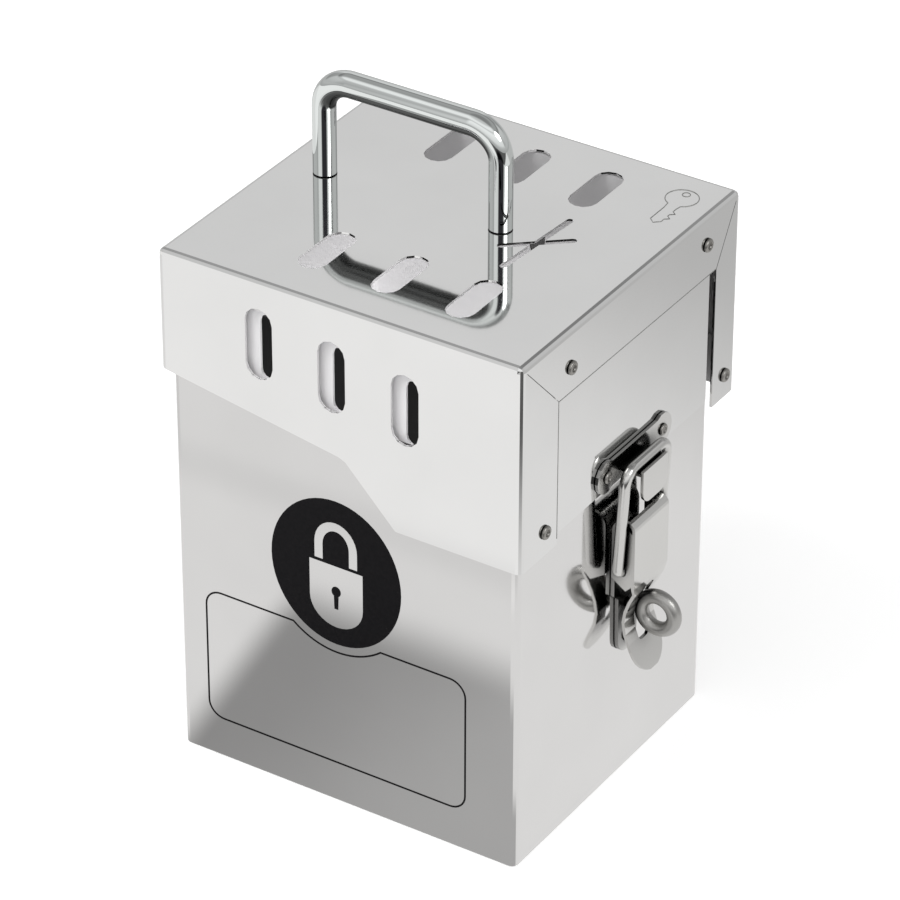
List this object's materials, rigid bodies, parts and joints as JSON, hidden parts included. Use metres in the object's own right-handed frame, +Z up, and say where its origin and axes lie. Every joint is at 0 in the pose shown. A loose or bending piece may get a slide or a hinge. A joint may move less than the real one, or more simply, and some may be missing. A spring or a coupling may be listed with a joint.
{
  "type": "group lockout box",
  "caption": "Small sheet steel key box with slots for padlocks, a side-hinged lid with a bent bar handle, and an over-centre draw latch with a padlock eye.",
  "frame": {"origin": "middle of the lid's outline, on the surface that the box stands on", "axes": "+Z up, +X to the latch side, +Y to the back"},
  "size_m": [0.1774, 0.148, 0.2581],
  "materials": {
    "sheet_steel": "bright mirror-polished stainless sheet",
    "latch_steel": "smooth plated steel",
    "chrome": "bright chrome",
    "rivet_steel": "satin steel"
  },
  "bodies": {
    "box": {"body_shell": "sheet_steel", "floor_pan": "sheet_steel", "hinge_leaf_body": "sheet_steel", "hinge_pin": "latch_steel", "latch_base": "latch_steel", "padlock_eye": "latch_steel", "lever_pin": "latch_steel", "hinge_rivet_body_1": "rivet_steel", "hinge_rivet_body_2": "rivet_steel", "hinge_rivet_body_3": "rivet_steel", "base_rivet_upper": "rivet_steel", "base_rivet_lower": "rivet_steel"},
    "lid": {"lid_shell": "sheet_steel", "lid_right_panel": "sheet_steel", "lid_left_panel": "sheet_steel", "lid_rear_angle_right": "sheet_steel", "lid_rear_angle_left": "sheet_steel", "hinge_leaf_lid": "sheet_steel", "latch_keeper": "latch_steel", "handle_washer_left": "latch_steel", "handle_washer_right": "latch_steel", "handle_screw_left": "latch_steel", "handle_screw_right": "latch_steel", "handle": "chrome", "lid_rivet_right_front_tab": "rivet_steel", "lid_rivet_right_top_front": "rivet_steel", "lid_rivet_right_top_rear": "rivet_steel", "lid_rivet_right_rear_tab": "rivet_steel", "lid_rivet_left_front_tab": "rivet_steel", "lid_rivet_left_top_front": "rivet_steel", "lid_rivet_left_top_rear": "rivet_steel", "lid_rivet_left_rear_tab": "rivet_steel", "hinge_rivet_lid_1": "rivet_steel", "hinge_rivet_lid_2": "rivet_steel", "hinge_rivet_lid_3": "rivet_steel", "keeper_rivet_front": "rivet_steel", "keeper_rivet_rear": "rivet_steel"},
    "latch_lever": {"latch_lever": "latch_steel"},
    "latch_bail": {"latch_bail": "latch_steel"}
  },
  "joints": [
    {"name": "lid_hinge", "type": "hinge", "parent": "box", "child": "lid", "pos_m": [-0.0777, 0.004, 0.1635], "axis": [0, -1, 0], "range_deg": [0, 180]},
    {"name": "lever_swing", "type": "hinge", "parent": "box", "child": "latch_lever", "pos_m": [0.0796, 0.0028, 0.113], "axis": [0, -1, 0], "range_deg": [0, 120]},
    {"name": "bail_swing", "type": "hinge", "parent": "latch_lever", "child": "latch_bail", "pos_m": [0.0783, 0.0028, 0.0965], "axis": [0, -1, 0], "range_deg": [-162, 0]}
  ],
  "couplings": [
    {"joint": "bail_swing", "follows": "lever_swing", "ratio": -1.35}
  ]
}
